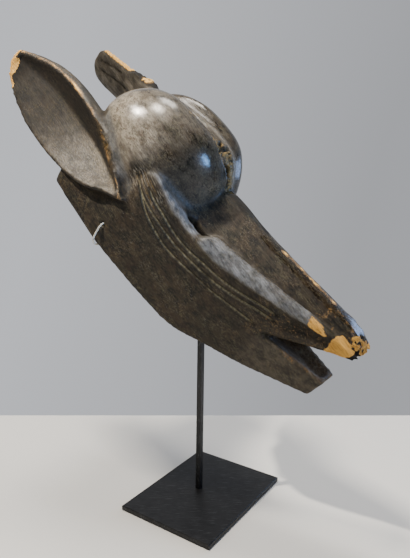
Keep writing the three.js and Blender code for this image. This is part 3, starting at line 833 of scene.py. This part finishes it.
def makeString():
    path = smoothLoop(stringStops, 60)
    closed = np.vstack([path, path[:1]])
    run = np.concatenate([[0], np.cumsum(np.linalg.norm(np.diff(closed, axis=0), axis=1))])
    length = run[-1]
    count = int(length / string["step"])
    even = np.stack([np.interp(np.linspace(0, length, count, endpoint=False), run, closed[:, k])
                     for k in range(3)], axis=1)
    along = np.roll(even, -1, axis=0) - np.roll(even, 1, axis=0)
    along /= np.linalg.norm(along, axis=1)[:, None]
    across = np.cross(along, np.array([1.0, 0.15, 0]))
    across /= np.linalg.norm(across, axis=1)[:, None]
    up = np.cross(along, across)
    turns = round(length / string["pitch"])
    verts, faces, around = [], [], string["around"]
    for ply in range(string["plies"]):
        first = len(verts)
        for i in range(count):
            a = 2 * math.pi * (ply / string["plies"] + turns * i / count)
            middle = even[i] + string["plyOffset"] * (math.cos(a) * across[i] + math.sin(a) * up[i])
            for j in range(around):
                b = 2 * math.pi * j / around
                verts.append(middle + string["plyRadius"] * (math.cos(b) * across[i] + math.sin(b) * up[i]))
        for i in range(count):
            for j in range(around):
                k, m = (i + 1) % count, (j + 1) % around
                faces.append((first + i * around + j, first + i * around + m, first + k * around + m,
                              first + k * around + j))
    made = meshObject("string_loop", verts, faces)
    fixNormals(made)
    setPoints(made, placed(pointsOf(made)))
    smoothShaded(made)
    print("string loop:", round(length), "mm long")
    return made


tieString = makeString()
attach(tieString, "root")
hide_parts("tie_string")


def colour(code):  # sRGB hex to linear
    parts = [int(code[i:i + 2], 16) / 255 for i in (1, 3, 5)]
    return tuple(c / 12.92 if c <= 0.04045 else ((c + 0.055) / 1.055) ** 2.4 for c in parts) + (1.0,)


def addNode(tree, kind, settings, links={}):
    made = tree.nodes.new(kind)
    for name, value in settings.items():
        if isinstance(name, str) and hasattr(made, name):
            setattr(made, name, value)
        else:
            made.inputs[name].default_value = value
    for name, source in links.items():
        tree.links.new(source, made.inputs[name])
    return made


def newMaterial(name):
    made = bpy.data.materials.new(name)
    made.use_nodes = True
    tree = made.node_tree
    return made, tree, tree.nodes["Principled BSDF"]


# Hardwood carved with adze and knife, smoked and rubbed with use: near-black brown with dull
# ochre flecks along the grain, a paler film from dust and handling, partly painted light, greyer where a
# sheen of reflected light is painted, tan bare wood in breaks
wood = {"ior": 1.5, "shine": 0.25, "rough": 0.58, "polished": 0.16, "dullest": 0.88,
        "relief": 0.75, "deep": 0.9}
# The soot colour also lays painted shade, and the grey sheen colour stands for reflected light
woodColours = {
    "sootAndShade": "#070504", "patina": "#241d14", "fleck": "#4c4733", "fleckRed": "#524732", "russet": "#33261a",
    "film": "#857d6f", "greySheen": "#8b8e90", "stain": "#4a3b30", "scored": "#948e72", "dust": "#7e663b",
    "inside": "#1d1712", "edge": "#785d3a", "bare": "#efba60", "bareFibre": "#ad7a38", "aged": "#946b24",
}
woodPatterns = {  # humps of long by wide millimetres, detail, roughness, turn in radians
    "blotch": (15, 9, 6, 0.68, (0, 0, 0)),
    "patches": (26, 18, 4, 0.6, (0, 0, 0)),
    "hue": (22, 15, 4, 0.6, (0.2, 0, 0.1)),
    "smear": (8, 5, 5, 0.65, (0.4, 0, 0.2)),
    "fleck": (4.5, 2.0, 5, 0.7, (0, 0, 0)),
    "crumb": (2.2, 1.6, 4, 0.7, (0, 0, 0)),
    "grain": (24, 1.1, 3, 0.6, (0, 0, 0)),
    "fibre": (40, 0.9, 3, 0.6, (0, 0, 0)),
    "streak": (22, 1.2, 3, 0.6, (0, 0.28, 0)),
    "scratchA": (14, 0.5, 2, 0.5, (0, 0, 0.5)),  # three sets of scratches that cross
    "scratchB": (14, 0.5, 2, 0.5, (0.3, 0, -0.7)),
    "scratchC": (9, 0.6, 2, 0.5, (1.2, 0, 1.3)),
}
# The finish in the order it is laid on. A "spread" row takes a pattern between two values and gives
# it a least and a most, a "paint" row lays its last colour over the other, and the rest are arithmetic
woodSteps = [
    # smoked ground, with flecks along the grain and redder places
    ("patinaAt", "spread", "blotch", 0.4, 0.6, 0, 1), ("tone", "paint", "patinaAt", "sootAndShade", "patina"),
    ("fleckAt", "spread", "grain", 0.48, 0.72, 0, 0.4), ("tone", "paint", "fleckAt", "tone", "fleck"),
    ("russetAt", "spread", "hue", 0.48, 0.64, 0, 0.3), ("tone", "paint", "russetAt", "tone", "russet"),
    # rubbed through to ochre
    ("rubbed", "spread", "fleck", 0.46, 0.62, 0, 1),
    ("rubbedPatch", "spread", "patches", 0.36, 0.62, 0.2, 1),
    ("rubbed", "MULTIPLY", "rubbed", "rubbedPatch"),
    ("rubbedCrumb", "spread", "crumb", 0.35, 0.6, 0.15, 0.75),
    ("rubbed", "MULTIPLY", "rubbed", "rubbedCrumb"), ("redAt", "spread", "hue", 0.4, 0.56, 0, 1),
    ("fleckTone", "paint", "redAt", "fleck", "fleckRed"), ("tone", "paint", "rubbed", "tone", "fleckTone"),
    # the pale film, partly painted light, streaked in places and greyer where a sheen is painted: on the
    # ridge, the ledge, the dome's foot and the ear's back
    ("filmBlotch", "spread", "blotch", 0.34, 0.62, 0.22, 0.74),
    ("filmAt", "MULTIPLY", "filmAndPaintedLight", "filmBlotch"), ("filmGrain", "spread", "grain", 0.3, 0.62, 0.65, 1.1),
    ("filmAt", "MULTIPLY", "filmAt", "filmGrain"), ("filmStreak", "spread", "streak", 0.38, 0.6, 0.35, 1.4),
    ("filmStreak", "SUBTRACT", "filmStreak", 1.0), ("filmStreak", "MULTIPLY", "streaked", "filmStreak"),
    ("filmStreak", "ADD", 1.0, "filmStreak"), ("filmAt", "MULTIPLY", "filmAt", "filmStreak"),
    ("filmTone", "paint", "greySheen", "film", "greySheen"), ("tone", "paint", "filmAt", "tone", "filmTone"),
    # spots in the film, weaker where the grey sheen is painted
    ("spotted", "MULTIPLY", "greySheen", -0.65), ("spotted", "ADD", 1.0, "spotted"),
    ("spotted", "MULTIPLY", "filmAndPaintedLight", "spotted"), ("spot", "spread", "fleck", 0.5, 0.66, 0, 0.5),
    ("spot", "MULTIPLY", "spotted", "spot"), ("tone", "paint", "spot", "tone", "fleck"),
    ("spot", "spread", "crumb", 0.53, 0.68, 0, 0.5), ("spot", "MULTIPLY", "spotted", "spot"),
    ("tone", "paint", "spot", "tone", "patina"), ("spot", "spread", "smear", 0.48, 0.66, 0, 0.32),
    ("spot", "MULTIPLY", "spotted", "spot"), ("tone", "paint", "spot", "tone", "stain"),
    ("frayedAt", "spread", "streak", 0.5, 0.66, 0, 0.6), ("frayedAt", "MULTIPLY", "frayed", "frayedAt"),
    ("tone", "paint", "frayedAt", "tone", "film"),
    # scratches, dust, the pale floors of the cheek lines, the unpolished hollow, soot and painted shade
    ("scratchA", "spread", "scratchA", 0.64, 0.72, 0, 1),
    ("scratchB", "spread", "scratchB", 0.65, 0.73, 0, 1),
    ("scratchC", "spread", "scratchC", 0.68, 0.76, 0, 1), ("scratches", "MAXIMUM", "scratchA", "scratchB"),
    ("scratches", "MAXIMUM", "scratches", "scratchC"),
    ("scratchPatch", "spread", "patches", 0.42, 0.62, 0.05, 0.55),
    ("scratches", "MULTIPLY", "scratches", "scratchPatch"), ("tone", "paint", "scratches", "tone", "film"),
    ("dusty", "spread", "crumb", 0.42, 0.56, 0.1, 1.1), ("dusty", "MULTIPLY", "dust", "dusty"),
    ("tone", "paint", "dusty", "tone", "dust"), ("scoredAt", "spread", "crumb", 0.36, 0.56, 0.35, 0.9),
    ("scoredAt", "MULTIPLY", "scored", "scoredAt"), ("tone", "paint", "scoredAt", "tone", "scored"),
    ("tone", "paint", "hollow", "tone", "inside"), ("sootAndShadeAt", "MULTIPLY", "sootAndShade", 0.85),
    ("tone", "paint", "sootAndShadeAt", "tone", "sootAndShade"),
    # worn edges, first brown and then pale
    ("crumbled", "SUBTRACT", "crumb", 0.5), ("wornAt", "MULTIPLY", "crumbled", 1.2),
    ("wornAt", "ADD", "worn", "wornAt"), ("edgeAt", "spread", "wornAt", 0.34, 0.6, 0, 1),
    ("tone", "paint", "edgeAt", "tone", "edge"), ("paleAt", "spread", "wornAt", 0.7, 0.95, 0, 0.85),
    ("tone", "paint", "paleAt", "tone", "bare"),
    # bare wood in the breaks, darker along its fibres and where it has aged
    ("fibreAt", "spread", "fibre", 0.4, 0.66, 0, 1), ("pale", "paint", "fibreAt", "bare", "bareFibre"),
    ("crumbAt", "spread", "crumb", 0.52, 0.68, 0, 0.6), ("pale", "paint", "crumbAt", "pale", "edge"),
    ("agedAt", "spread", "grain", 0.56, 0.7, 0, 0.5), ("pale", "paint", "agedAt", "pale", "aged"),
    ("agedAt", "MULTIPLY", "worn", 0.65), ("pale", "paint", "agedAt", "pale", "aged"),
    ("bareAt", "MULTIPLY", "crumbled", 0.9), ("bareAt", "ADD", "bare", "bareAt"),
    ("bareAt", "spread", "bareAt", 0.44, 0.56, 0, 1), ("tone", "paint", "bareAt", "tone", "pale"),
    # gloss: polished by hands, dull where bare, dusty, sooted or painted in shade
    ("gloss", "MULTIPLY", "polish", wood["rough"] - wood["polished"]),
    ("gloss", "SUBTRACT", wood["rough"], "gloss"),
    ("glossFleck", "spread", "fleck", 0.35, 0.7, -0.05, 0.12), ("gloss", "ADD", "gloss", "glossFleck"),
    ("dull", "MAXIMUM", "bareAt", "dusty"), ("dull", "MAXIMUM", "dull", "sootAndShade"),
    ("dull", "MULTIPLY", "dull", 0.45), ("gloss", "ADD", "gloss", "dull"),
    ("gloss", "MINIMUM", "gloss", wood["dullest"]),
    # relief: grain and flecks, scratches, frayed cuts and open fibres, rubbed smooth where polished
    ("relief", "MULTIPLY", "grain", 0.35), ("part", "MULTIPLY", "fleck", 0.45),
    ("relief", "ADD", "relief", "part"), ("part", "MULTIPLY", "scratches", 0.4),
    ("relief", "SUBTRACT", "relief", "part"), ("part", "MULTIPLY", "streak", "frayed"),
    ("part", "MULTIPLY", "part", 0.5), ("relief", "ADD", "relief", "part"),
    ("part", "MULTIPLY", "crumb", 0.12), ("relief", "ADD", "relief", "part"),
    ("part", "MULTIPLY", "polish", 0.72), ("part", "SUBTRACT", 1.0, "part"),
    ("relief", "MULTIPLY", "relief", "part"), ("part", "MULTIPLY", "fibre", "bareAt"),
    ("part", "MULTIPLY", "part", 0.8), ("relief", "ADD", "relief", "part"),
]


def woodMaterial():
    made, tree, shader = newMaterial("smoked carved hardwood")
    place = addNode(tree, "ShaderNodeTexCoord", {}).outputs["Object"]
    field = {}  # the marks cut in the mesh, then the patterns, then each step
    for label in marks:
        field[label] = addNode(tree, "ShaderNodeAttribute", {"attribute_name": label}).outputs["Fac"]
    for name, (long, wide, detail, roughness, turned) in woodPatterns.items():
        spin = (turned[0], math.radians(mask["tilt"]) + turned[1], turned[2])
        space = addNode(tree, "ShaderNodeMapping", {
            "vector_type": "TEXTURE", "Location": tuple(v * mm for v in mask["place"]), "Rotation": spin,
            "Scale": (long * mm, wide * mm, wide * mm)}, {"Vector": place})
        humps = {"Scale": 1.0, "Detail": detail, "Roughness": roughness}
        field[name] = addNode(tree, "ShaderNodeTexNoise", humps, {"Vector": space.outputs[0]}).outputs["Fac"]
    for name, work, *parts in woodSteps:
        if work == "spread":
            source, low, high, least, most = parts
            step = addNode(tree, "ShaderNodeMapRange", {
                "interpolation_type": "SMOOTHSTEP", "From Min": low, "From Max": high,
                "To Min": least, "To Max": most}, {"Value": field[source]})
        elif work == "paint":
            tones = dict(zip(("Color1", "Color2"), parts[1:]))
            flat = {end: colour(woodColours[v]) for end, v in tones.items() if v in woodColours}
            mixed = {end: field[v] for end, v in tones.items() if v not in woodColours}
            step = addNode(tree, "ShaderNodeMixRGB", flat, {"Fac": field[parts[0]], **mixed})
        else:
            numbers = {end: v for end, v in enumerate(parts) if not isinstance(v, str)}
            fields = {end: field[v] for end, v in enumerate(parts) if isinstance(v, str)}
            step = addNode(tree, "ShaderNodeMath", {"operation": work, **numbers}, fields)
        field[name] = step.outputs[0]
    pushed = addNode(tree, "ShaderNodeBump", {"Strength": wood["relief"], "Distance": wood["deep"] * mm},
                     {"Height": field["relief"]})
    tree.links.new(field["tone"], shader.inputs["Base Color"])
    tree.links.new(field["gloss"], shader.inputs["Roughness"])
    tree.links.new(pushed.outputs[0], shader.inputs["Normal"])
    shader.inputs["IOR"].default_value = wood["ior"]
    shader.inputs["Specular IOR Level"].default_value = wood["shine"]
    return made


# Cotton, spun and twisted, undyed: off-white, quite matt, a little grey from handling
cotton = {"clean": "#d9d4c6", "soiled": "#a59f8f", "roughness": 0.92, "ior": 1.53,
          "fibre": 0.5, "relief": 0.4, "deep": 0.2}


def cottonMaterial():
    made, tree, shader = newMaterial("spun cotton string")
    place = addNode(tree, "ShaderNodeTexCoord", {}).outputs["Object"]
    space = addNode(tree, "ShaderNodeMapping", {
        "vector_type": "TEXTURE", "Scale": (cotton["fibre"] * mm,) * 3}, {"Vector": place})
    hair = addNode(tree, "ShaderNodeTexNoise", {"Scale": 1.0, "Detail": 3.0}, {"Vector": space.outputs[0]})
    tone = addNode(tree, "ShaderNodeMixRGB", {
        "Color1": colour(cotton["soiled"]), "Color2": colour(cotton["clean"])}, {"Fac": hair.outputs["Fac"]})
    raised = addNode(tree, "ShaderNodeBump", {"Strength": cotton["relief"], "Distance": cotton["deep"] * mm},
                     {"Height": hair.outputs["Fac"]})
    tree.links.new(tone.outputs[0], shader.inputs["Base Color"])
    tree.links.new(raised.outputs[0], shader.inputs["Normal"])
    shader.inputs["Roughness"].default_value = cotton["roughness"]
    shader.inputs["IOR"].default_value = cotton["ior"]
    return made


# Mild steel bar and plate, heat-blackened and waxed: dark blue-grey, satin, faint mottling
steel = {
    "dark": "#212122", "light": "#3c3d3f", "scuffed": "#6c6e71", "roughness": (0.42, 0.58), "metal": 0.85,
    "mottle": (9, 9, 9), "drawn": (0.5, 0.5, 0.5), "relief": 0.25, "deep": 0.1,  # sizes in millimetres
    "scuff": (16, 0.7, 6), "scuffTurn": 0.6, "scuffFrom": 0.58, "scuffTo": 0.72, "scuffMost": 0.6,
}


def steelMaterial():
    made, tree, shader = newMaterial("blackened waxed steel")
    place = addNode(tree, "ShaderNodeTexCoord", {}).outputs["Object"]
    fields = {}
    for name, detail, roughness, turned in (("mottle", 5.0, 0.6, 0), ("scuff", 3.0, 0.6, steel["scuffTurn"]),
                                            ("drawn", 2.0, 0.5, 0)):
        space = addNode(tree, "ShaderNodeMapping", {
            "vector_type": "TEXTURE", "Rotation": (0, 0, turned),
            "Scale": tuple(v * mm for v in steel[name])}, {"Vector": place})
        humps = {"Scale": 1.0, "Detail": detail, "Roughness": roughness}
        fields[name] = addNode(tree, "ShaderNodeTexNoise", humps, {"Vector": space.outputs[0]}).outputs["Fac"]
    tone = addNode(tree, "ShaderNodeMixRGB", {
        "Color1": colour(steel["dark"]), "Color2": colour(steel["light"])}, {"Fac": fields["mottle"]})
    scuffed = addNode(tree, "ShaderNodeMapRange", {
        "From Min": steel["scuffFrom"], "From Max": steel["scuffTo"], "To Max": steel["scuffMost"]},
        {"Value": fields["scuff"]})
    tone = addNode(tree, "ShaderNodeMixRGB", {"Color2": colour(steel["scuffed"])},
                   {"Fac": scuffed.outputs[0], "Color1": tone.outputs[0]})
    gloss = addNode(tree, "ShaderNodeMapRange", {
        "To Min": steel["roughness"][0], "To Max": steel["roughness"][1]}, {"Value": fields["mottle"]})
    raised = addNode(tree, "ShaderNodeBump", {"Strength": steel["relief"], "Distance": steel["deep"] * mm},
                     {"Height": fields["drawn"]})
    tree.links.new(tone.outputs[0], shader.inputs["Base Color"])
    tree.links.new(gloss.outputs[0], shader.inputs["Roughness"])
    tree.links.new(raised.outputs[0], shader.inputs["Normal"])
    shader.inputs["Metallic"].default_value = steel["metal"]
    return made


def wear(made, finish):
    made.data.materials.clear()
    made.data.materials.append(finish)


blackened = steelMaterial()
wear(maskBody, woodMaterial())
wear(tieString, cottonMaterial())
for name in ("stand_rod", "stand_plate"):
    wear(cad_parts[name], blackened)
print("materials on")

# Stage, light and camera
stage = {
    "floor": "#eeeeeb", "floorRough": 0.7, "backEdge": 0.788, "reach": 2.2,
    "air": "#b7b9be", "behind": 1.22, "before": 0.13, "turn": (-0.3, 0.75),  # brighter behind than before
    "left": 1.12, "right": 0.72, "sideways": (-0.3, 0.3), "fall": -0.25,  # and on the left and above
    "aim": (0, 0, 0.3), "beamEdge": 0.6,
}
camera = {"place": (0.32226, -0.46558, 0.361), "down": 9.8, "round": 34.5, "lens": 33.29, "sensor": 36}
lights = [
    # name, direction from what it lights, distance in metres, width, watts, colour, then for a
    # spotlight the point it lights and its cone in degrees
    ("ceiling front", (-0.12, -0.3, 0.95), 1.6, 0.26, 32, "#fff4e4"),
    ("ceiling above", (-0.05, 0.12, 0.99), 1.5, 0.4, 18, "#fff8ee"),
    ("back window", (0.4, 0.9, 0.12), 1.3, 0.4, 4, "#a9c8ff"),
    ("room", (0.9, -0.4, 0.1), 1.4, 0.5, 2.4, "#eef0ff"),
    ("ceiling spotlight", (-0.43, -0.47, 0.77), 1.5, 0.05, 175, "#fff4e4", (-0.07, -0.04, 0.42), 11),
    ("window", (0.97, -0.22, 0.08), 1.2, 0.34, 180, "#7fb8ff", (0.01, -0.015, 0.41), 11),
]


def makeFloor():
    turned = math.radians(camera["round"])
    ahead = Vector((-math.sin(turned), math.cos(turned), 0))
    right = Vector((math.cos(turned), math.sin(turned), 0))
    eye = Vector((camera["place"][0], camera["place"][1], 0))
    back, front = eye + ahead * stage["backEdge"], eye - ahead * stage["reach"]
    side = right * stage["reach"]
    floor = meshObject("floor", [back - side, back + side, front + side, front - side], [(3, 2, 1, 0)])
    made, tree, shader = newMaterial("painted board")  # matt pale paint
    shader.inputs["Base Color"].default_value = colour(stage["floor"])
    shader.inputs["Roughness"].default_value = stage["floorRough"]
    wear(floor, made)


def makeLights():
    for name, direction, away, width, watts, tint, *beam in lights:
        data = bpy.data.lights.new(name, "SPOT" if beam else "AREA")
        data.energy, data.color = watts, colour(tint)[:3]
        aim = Vector(beam[0] if beam else stage["aim"])
        if beam:
            data.shadow_soft_size, data.spot_size = width / 2, math.radians(beam[1])
            data.spot_blend = stage["beamEdge"]
        else:
            data.size = width
        lamp = bpy.data.objects.new(name, data)
        scene.collection.objects.link(lamp)
        direction = Vector(direction).normalized()
        lamp.location = aim + direction * away
        lamp.rotation_euler = direction.to_track_quat("Z", "Y").to_euler()
        lamp.visible_camera = False


def makeAir():  # the light of the room, from all round
    world = bpy.data.worlds.new("air")
    world.use_nodes = True
    tree = world.node_tree
    turned = math.radians(camera["round"])
    way = addNode(tree, "ShaderNodeTexCoord", {}).outputs["Generated"]
    behind = addNode(tree, "ShaderNodeVectorMath", {
        "operation": "DOT_PRODUCT", 1: (-math.sin(turned), math.cos(turned), 0)}, {0: way})
    strength = addNode(tree, "ShaderNodeMapRange", {
        "interpolation_type": "SMOOTHSTEP", "From Min": stage["turn"][0], "From Max": stage["turn"][1],
        "To Min": stage["before"], "To Max": stage["behind"]}, {"Value": behind.outputs["Value"]})
    across = addNode(tree, "ShaderNodeVectorMath", {
        "operation": "DOT_PRODUCT", 1: (math.cos(turned), math.sin(turned), stage["fall"])}, {0: way})
    fall = addNode(tree, "ShaderNodeMapRange", {
        "From Min": stage["sideways"][0], "From Max": stage["sideways"][1],
        "To Min": stage["left"], "To Max": stage["right"]}, {"Value": across.outputs["Value"]})
    both = addNode(tree, "ShaderNodeMath", {"operation": "MULTIPLY"},
                   {0: strength.outputs[0], 1: fall.outputs[0]})
    tree.nodes["Background"].inputs["Color"].default_value = colour(stage["air"])
    tree.links.new(both.outputs[0], tree.nodes["Background"].inputs["Strength"])
    scene.world = world


def makeCamera():
    data = bpy.data.cameras.new("camera")
    data.lens, data.sensor_width = camera["lens"], camera["sensor"]
    eye = bpy.data.objects.new("camera", data)
    scene.collection.objects.link(eye)
    eye.location = camera["place"]
    eye.rotation_euler = (math.radians(90 - camera["down"]), 0, math.radians(camera["round"]))
    scene.camera = eye


makeFloor()
makeLights()
makeAir()
makeCamera()
print("stage set")
